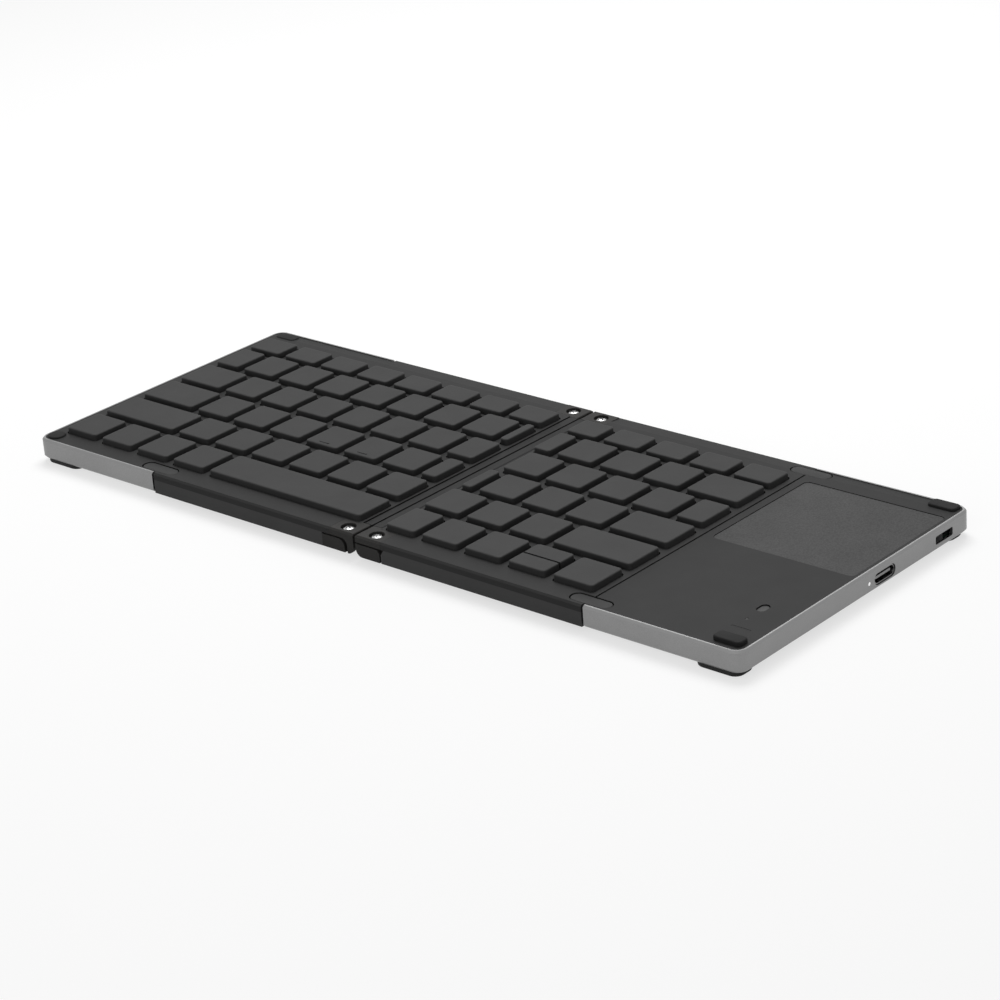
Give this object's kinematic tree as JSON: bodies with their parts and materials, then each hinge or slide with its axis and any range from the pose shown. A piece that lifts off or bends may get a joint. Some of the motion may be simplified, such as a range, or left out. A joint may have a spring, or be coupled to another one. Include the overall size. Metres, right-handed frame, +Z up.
{
  "type": "folding keyboard",
  "caption": "Thin two-part computer keyboard that folds face to face on a double-pin spine, with blank keys, a touchpad, a charging port and a power slide.",
  "frame": {"origin": "middle of the open keyboard's footprint, on the surface that its feet stand on", "axes": "+X along the width to the touchpad end, +Y towards the back row of keys, +Z up"},
  "size_m": [0.252, 0.1, 0.0093],
  "materials": {
    "case_plastic": "fine-textured dark grey moulding",
    "frame_aluminium": "bead-blasted grey anodised aluminium",
    "deck_plastic": "dark grey matt moulding",
    "cover_plastic": "dark grey satin moulding",
    "bumper_rubber": "matt dark rubber",
    "foot_rubber": "matt black rubber",
    "bracket_metal": "dark grey painted casting",
    "screw_steel": "bright steel",
    "plate_steel": "bare steel sheet",
    "film_plastic": "clear contact film",
    "dome_rubber": "translucent silicone",
    "touchpad_plastic": "grained dark grey sheet",
    "circuit_board": "green circuit board",
    "spine_metal": "dark grey anodised profile",
    "pin_steel": "ground steel wire",
    "cable_film": "amber polyimide",
    "battery_foil": "matt foil pouch",
    "socket_steel": "plated steel shell with a dark tongue",
    "lamp_lens": "white light pipe",
    "window_plastic": "smoked light windows",
    "switch_plastic": "black switch body",
    "knob_plastic": "black ribbed knob",
    "key_plastic": "dark grey matt keycaps with dark skirts"
  },
  "bodies": {
    "left_half": {"left_base": "case_plastic", "left_end_frame": "frame_aluminium", "left_deck": "deck_plastic", "left_joint_cover": "cover_plastic", "left_bumpers": "bumper_rubber", "left_feet": "foot_rubber", "left_hinge_brackets": "bracket_metal", "left_hinge_screws": "screw_steel", "left_key_plate": "plate_steel", "left_contact_film": "film_plastic", "left_dome_sheet": "dome_rubber"},
    "spine": {"hinge_spine": "spine_metal", "hinge_pins": "pin_steel", "hinge_flat_cable": "cable_film"},
    "right_half": {"right_base": "case_plastic", "right_end_frame": "frame_aluminium", "right_deck": "deck_plastic", "touchpad_deck": "deck_plastic", "touchpad": "touchpad_plastic", "touchpad_board": "circuit_board", "right_joint_covers": "cover_plastic", "right_bumpers": "bumper_rubber", "right_feet": "foot_rubber", "right_hinge_brackets": "bracket_metal", "right_hinge_screws": "screw_steel", "right_key_plate": "plate_steel", "right_contact_film": "film_plastic", "right_dome_sheet": "dome_rubber", "battery": "battery_foil", "main_board": "circuit_board", "charging_socket": "socket_steel", "charging_light": "lamp_lens", "status_windows": "window_plastic", "power_switch": "switch_plastic"},
    "switch_knob": {"power_switch_knob": "knob_plastic"},
    "left_back_row_keys": {"left_back_row_keys": "key_plastic"},
    "left_number_row_keys": {"left_number_row_keys": "key_plastic"},
    "left_upper_row_keys": {"left_upper_row_keys": "key_plastic"},
    "tab_key": {"tab_key": "key_plastic"},
    "left_home_row_keys": {"left_home_row_keys": "key_plastic"},
    "caps_lock_key": {"caps_lock_key": "key_plastic"},
    "left_lower_row_keys": {"left_lower_row_keys": "key_plastic"},
    "left_shift_key": {"left_shift_key": "key_plastic"},
    "left_front_row_keys": {"left_front_row_keys": "key_plastic"},
    "space_bar": {"space_bar": "key_plastic"},
    "right_back_row_keys": {"right_back_row_keys": "key_plastic"},
    "right_number_row_keys": {"right_number_row_keys": "key_plastic"},
    "backspace_key": {"backspace_key": "key_plastic"},
    "right_upper_row_keys": {"right_upper_row_keys": "key_plastic"},
    "right_home_row_keys": {"right_home_row_keys": "key_plastic"},
    "enter_key": {"enter_key": "key_plastic"},
    "right_lower_row_keys": {"right_lower_row_keys": "key_plastic"},
    "right_shift_key": {"right_shift_key": "key_plastic"},
    "right_front_row_keys": {"right_front_row_keys": "key_plastic"},
    "arrow_up_key": {"arrow_up_key": "key_plastic"},
    "arrow_down_key": {"arrow_down_key": "key_plastic"}
  },
  "joints": [
    {"name": "fold_left", "type": "hinge", "parent": "left_half", "child": "spine", "pos_m": [-0.0026, 0, 0.00675], "axis": [0, -1, 0], "range_deg": [0, 90]},
    {"name": "fold_right", "type": "hinge", "parent": "spine", "child": "right_half", "pos_m": [0.0026, 0, 0.00675], "axis": [0, -1, 0], "range_deg": [0, 90]},
    {"name": "power_slide", "type": "slide", "parent": "right_half", "child": "switch_knob", "axis": [0, 1, 0], "range_m": [0, 0.0036]},
    {"name": "left_back_row_keys_press", "type": "slide", "parent": "left_half", "child": "left_back_row_keys", "axis": [0, 0, -1], "range_m": [0, 0.0012], "stiffness_N_per_m": 200, "springref_m": -0.0015},
    {"name": "left_number_row_keys_press", "type": "slide", "parent": "left_half", "child": "left_number_row_keys", "axis": [0, 0, -1], "range_m": [0, 0.0012], "stiffness_N_per_m": 200, "springref_m": -0.0015},
    {"name": "left_upper_row_keys_press", "type": "slide", "parent": "left_half", "child": "left_upper_row_keys", "axis": [0, 0, -1], "range_m": [0, 0.0012], "stiffness_N_per_m": 200, "springref_m": -0.0015},
    {"name": "tab_key_press", "type": "slide", "parent": "left_half", "child": "tab_key", "axis": [0, 0, -1], "range_m": [0, 0.0012], "stiffness_N_per_m": 200, "springref_m": -0.0015},
    {"name": "left_home_row_keys_press", "type": "slide", "parent": "left_half", "child": "left_home_row_keys", "axis": [0, 0, -1], "range_m": [0, 0.0012], "stiffness_N_per_m": 200, "springref_m": -0.0015},
    {"name": "caps_lock_key_press", "type": "slide", "parent": "left_half", "child": "caps_lock_key", "axis": [0, 0, -1], "range_m": [0, 0.0012], "stiffness_N_per_m": 200, "springref_m": -0.0015},
    {"name": "left_lower_row_keys_press", "type": "slide", "parent": "left_half", "child": "left_lower_row_keys", "axis": [0, 0, -1], "range_m": [0, 0.0012], "stiffness_N_per_m": 200, "springref_m": -0.0015},
    {"name": "left_shift_key_press", "type": "slide", "parent": "left_half", "child": "left_shift_key", "axis": [0, 0, -1], "range_m": [0, 0.0012], "stiffness_N_per_m": 200, "springref_m": -0.0015},
    {"name": "left_front_row_keys_press", "type": "slide", "parent": "left_half", "child": "left_front_row_keys", "axis": [0, 0, -1], "range_m": [0, 0.0012], "stiffness_N_per_m": 200, "springref_m": -0.0015},
    {"name": "space_bar_press", "type": "slide", "parent": "left_half", "child": "space_bar", "axis": [0, 0, -1], "range_m": [0, 0.0012], "stiffness_N_per_m": 200, "springref_m": -0.0015},
    {"name": "right_back_row_keys_press", "type": "slide", "parent": "right_half", "child": "right_back_row_keys", "axis": [0, 0, -1], "range_m": [0, 0.0012], "stiffness_N_per_m": 200, "springref_m": -0.0015},
    {"name": "right_number_row_keys_press", "type": "slide", "parent": "right_half", "child": "right_number_row_keys", "axis": [0, 0, -1], "range_m": [0, 0.0012], "stiffness_N_per_m": 200, "springref_m": -0.0015},
    {"name": "backspace_key_press", "type": "slide", "parent": "right_half", "child": "backspace_key", "axis": [0, 0, -1], "range_m": [0, 0.0012], "stiffness_N_per_m": 200, "springref_m": -0.0015},
    {"name": "right_upper_row_keys_press", "type": "slide", "parent": "right_half", "child": "right_upper_row_keys", "axis": [0, 0, -1], "range_m": [0, 0.0012], "stiffness_N_per_m": 200, "springref_m": -0.0015},
    {"name": "right_home_row_keys_press", "type": "slide", "parent": "right_half", "child": "right_home_row_keys", "axis": [0, 0, -1], "range_m": [0, 0.0012], "stiffness_N_per_m": 200, "springref_m": -0.0015},
    {"name": "enter_key_press", "type": "slide", "parent": "right_half", "child": "enter_key", "axis": [0, 0, -1], "range_m": [0, 0.0012], "stiffness_N_per_m": 200, "springref_m": -0.0015},
    {"name": "right_lower_row_keys_press", "type": "slide", "parent": "right_half", "child": "right_lower_row_keys", "axis": [0, 0, -1], "range_m": [0, 0.0012], "stiffness_N_per_m": 200, "springref_m": -0.0015},
    {"name": "right_shift_key_press", "type": "slide", "parent": "right_half", "child": "right_shift_key", "axis": [0, 0, -1], "range_m": [0, 0.0012], "stiffness_N_per_m": 200, "springref_m": -0.0015},
    {"name": "right_front_row_keys_press", "type": "slide", "parent": "right_half", "child": "right_front_row_keys", "axis": [0, 0, -1], "range_m": [0, 0.0012], "stiffness_N_per_m": 200, "springref_m": -0.0015},
    {"name": "arrow_up_key_press", "type": "slide", "parent": "right_half", "child": "arrow_up_key", "axis": [0, 0, -1], "range_m": [0, 0.0012], "stiffness_N_per_m": 200, "springref_m": -0.0015},
    {"name": "arrow_down_key_press", "type": "slide", "parent": "right_half", "child": "arrow_down_key", "axis": [0, 0, -1], "range_m": [0, 0.0012], "stiffness_N_per_m": 200, "springref_m": -0.0015}
  ],
  "couplings": [
    {"joint": "fold_left", "follows": "fold_right", "ratio": 1}
  ]
}
